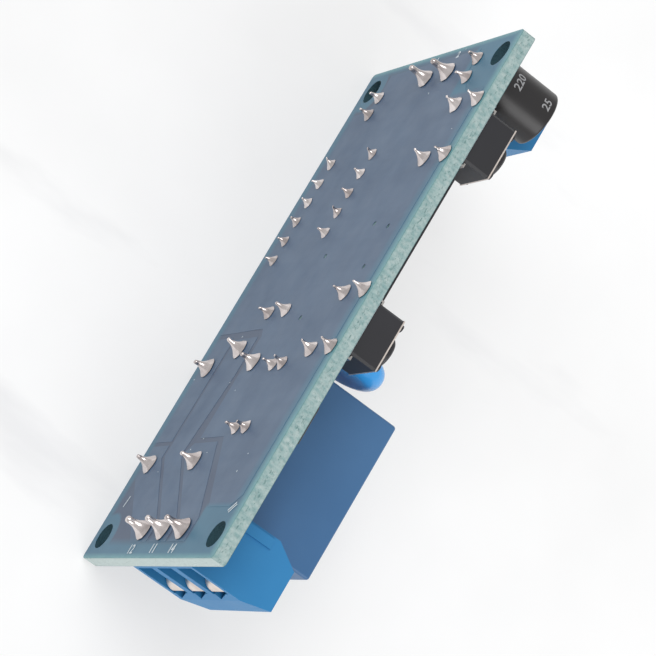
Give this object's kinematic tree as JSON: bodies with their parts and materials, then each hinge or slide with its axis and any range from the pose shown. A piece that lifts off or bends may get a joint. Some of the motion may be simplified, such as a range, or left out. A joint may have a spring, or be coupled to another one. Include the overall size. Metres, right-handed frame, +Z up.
{
  "type": "relay module board",
  "caption": "Small circuit module with a relay, screw terminals, a three-digit display and two push buttons.",
  "frame": {"origin": "middle of the lower long edge of the board, half-way through its thickness", "axes": "+Z up across the board from the relay's long edge to the push buttons' long edge, +Y out of the component face, +X along the board towards the 3-way terminal"},
  "size_m": [0.0632, 0.0189, 0.0345],
  "materials": {
    "fibreglass": "satin solder mask",
    "solder": "bright tin-lead",
    "relay_blue": "smooth moulded",
    "terminal_blue": "smooth moulded",
    "steel": "bright zinc plate",
    "tin_plate": "tinned",
    "copper_wire": "enamelled wire",
    "contact_brass": "bare",
    "bobbin_white": "moulded",
    "black_plastic": "moulded",
    "display_black": "moulded, painted face",
    "segment_white": "milky epoxy",
    "potting": "epoxy",
    "sleeve_black": "shrunk film",
    "aluminium_can": "bare",
    "bung_rubber": "moulded",
    "dipped_blue": "dipped",
    "dipped_amber": "dipped",
    "lamp_red": "diffused lens",
    "lamp_green": "diffused lens",
    "chip_ceramic": "glazed",
    "capacitor_ceramic": "fired"
  },
  "bodies": {
    "module": {"circuit_board": "fibreglass", "solder_joints": "solder", "relay_cover": "relay_blue", "relay_base": "relay_blue", "relay_pins": "tin_plate", "relay_bobbin": "bobbin_white", "relay_winding": "copper_wire", "relay_core": "steel", "relay_yoke": "steel", "terminal_3p_housing": "terminal_blue", "terminal_3p_contacts": "tin_plate", "terminal_2p_housing": "terminal_blue", "terminal_2p_contacts": "tin_plate", "display_shell": "display_black", "display_segments": "segment_white", "display_back": "potting", "display_pins": "tin_plate", "capacitor_can": "aluminium_can", "capacitor_sleeve": "sleeve_black", "capacitor_bung": "bung_rubber", "capacitor_leads": "tin_plate", "disc_body": "dipped_blue", "disc_leads": "tin_plate", "lamp_power_lens": "lamp_red", "lamp_relay_lens": "lamp_green", "lamp_leads": "tin_plate", "ceramic_body": "dipped_amber", "ceramic_leads": "tin_plate", "controller_body": "black_plastic", "controller_leads": "tin_plate", "regulator_body": "black_plastic", "regulator_leads": "tin_plate", "driver_transistor": "black_plastic", "diode_bodies": "black_plastic", "diode_terminals": "tin_plate", "chip_resistors": "chip_ceramic", "chip_capacitors": "capacitor_ceramic", "switch_1_base": "black_plastic", "switch_1_plate": "steel", "switch_1_dome": "steel", "switch_1_legs": "tin_plate", "switch_2_base": "black_plastic", "switch_2_plate": "steel", "switch_2_dome": "steel", "switch_2_legs": "tin_plate"},
    "switch_1_button": {"switch_1_button": "black_plastic"},
    "switch_2_button": {"switch_2_button": "black_plastic"},
    "relay_armature": {"relay_armature": "steel", "relay_contact_blade": "contact_brass"},
    "terminal_3p_guard_1": {"terminal_3p_guard_1": "steel"},
    "terminal_3p_screw_1": {"terminal_3p_screw_1": "steel"},
    "terminal_3p_guard_2": {"terminal_3p_guard_2": "steel"},
    "terminal_3p_screw_2": {"terminal_3p_screw_2": "steel"},
    "terminal_3p_guard_3": {"terminal_3p_guard_3": "steel"},
    "terminal_3p_screw_3": {"terminal_3p_screw_3": "steel"},
    "terminal_2p_guard_1": {"terminal_2p_guard_1": "steel"},
    "terminal_2p_screw_1": {"terminal_2p_screw_1": "steel"},
    "terminal_2p_guard_2": {"terminal_2p_guard_2": "steel"},
    "terminal_2p_screw_2": {"terminal_2p_screw_2": "steel"}
  },
  "joints": [
    {"name": "switch_1_press", "type": "slide", "parent": "module", "child": "switch_1_button", "axis": [0, -1, 0], "range_m": [0, 0.00025], "stiffness_N_per_m": 2000},
    {"name": "switch_2_press", "type": "slide", "parent": "module", "child": "switch_2_button", "axis": [0, -1, 0], "range_m": [0, 0.00025], "stiffness_N_per_m": 2000},
    {"name": "relay_armature_swing", "type": "hinge", "parent": "module", "child": "relay_armature", "pos_m": [0.0059, 0.01255, 0.00946], "axis": [0, 0, -1], "range_deg": [0, 2.4], "stiffness_Nm_per_rad": 0.03},
    {"name": "terminal_3p_guard_1_slide", "type": "slide", "parent": "module", "child": "terminal_3p_guard_1", "axis": [0, -1, 0], "range_m": [0, 0.0022]},
    {"name": "terminal_3p_screw_1_turn", "type": "hinge", "parent": "terminal_3p_guard_1", "child": "terminal_3p_screw_1", "pos_m": [0.0283, 0.0085, 0.01307], "axis": [0, -1, 0], "range_deg": [0, 1761]},
    {"name": "terminal_3p_guard_2_slide", "type": "slide", "parent": "module", "child": "terminal_3p_guard_2", "axis": [0, -1, 0], "range_m": [0, 0.0022]},
    {"name": "terminal_3p_screw_2_turn", "type": "hinge", "parent": "terminal_3p_guard_2", "child": "terminal_3p_screw_2", "pos_m": [0.0283, 0.0085, 0.01815], "axis": [0, -1, 0], "range_deg": [0, 1761]},
    {"name": "terminal_3p_guard_3_slide", "type": "slide", "parent": "module", "child": "terminal_3p_guard_3", "axis": [0, -1, 0], "range_m": [0, 0.0022]},
    {"name": "terminal_3p_screw_3_turn", "type": "hinge", "parent": "terminal_3p_guard_3", "child": "terminal_3p_screw_3", "pos_m": [0.0283, 0.0085, 0.02323], "axis": [0, -1, 0], "range_deg": [0, 1761]},
    {"name": "terminal_2p_guard_1_slide", "type": "slide", "parent": "module", "child": "terminal_2p_guard_1", "axis": [0, -1, 0], "range_m": [0, 0.0022]},
    {"name": "terminal_2p_screw_1_turn", "type": "hinge", "parent": "terminal_2p_guard_1", "child": "terminal_2p_screw_1", "pos_m": [-0.0283, 0.0085, 0.01631], "axis": [0, -1, 0], "range_deg": [0, 1761]},
    {"name": "terminal_2p_guard_2_slide", "type": "slide", "parent": "module", "child": "terminal_2p_guard_2", "axis": [0, -1, 0], "range_m": [0, 0.0022]},
    {"name": "terminal_2p_screw_2_turn", "type": "hinge", "parent": "terminal_2p_guard_2", "child": "terminal_2p_screw_2", "pos_m": [-0.0283, 0.0085, 0.02139], "axis": [0, -1, 0], "range_deg": [0, 1761]}
  ],
  "couplings": [
    {"joint": "terminal_3p_screw_1_turn", "follows": "terminal_3p_guard_1_slide", "rad_per_m": 13963},
    {"joint": "terminal_3p_screw_2_turn", "follows": "terminal_3p_guard_2_slide", "rad_per_m": 13963},
    {"joint": "terminal_3p_screw_3_turn", "follows": "terminal_3p_guard_3_slide", "rad_per_m": 13963},
    {"joint": "terminal_2p_screw_1_turn", "follows": "terminal_2p_guard_1_slide", "rad_per_m": 13963},
    {"joint": "terminal_2p_screw_2_turn", "follows": "terminal_2p_guard_2_slide", "rad_per_m": 13963}
  ]
}
